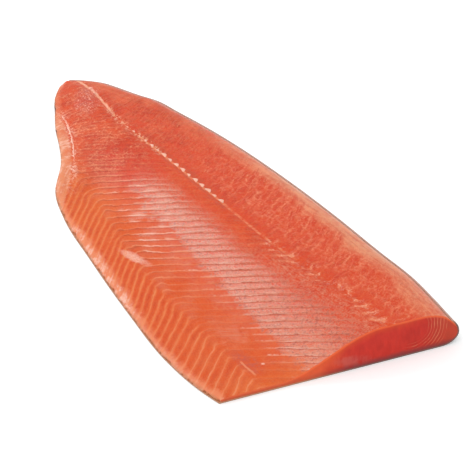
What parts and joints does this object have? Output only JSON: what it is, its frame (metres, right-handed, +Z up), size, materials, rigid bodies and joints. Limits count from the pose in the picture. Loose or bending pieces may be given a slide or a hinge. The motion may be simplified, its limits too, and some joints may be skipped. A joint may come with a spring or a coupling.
{
  "type": "salmon slice",
  "caption": "Skin-on tail piece of a raw salmon side, laid skin down, with folded muscle segments, a thin belly flap and a square knife cut across its thick end.",
  "frame": {"origin": "centre of the bounding box's footprint, on the flat skin that the slice lies on", "axes": "+X from the tail tip to the knife cut, +Y from the belly edge to the back, +Z up through the flesh"},
  "size_m": [0.3845, 0.1622, 0.0237],
  "materials": {
    "flesh": "moist, slightly translucent orange-red flesh with pale seams",
    "skin": "wet silver-grey skin with small scales, darker towards the back"
  },
  "bodies": {
    "root": {"flesh": "flesh", "skin": "skin"}
  },
  "joints": []
}
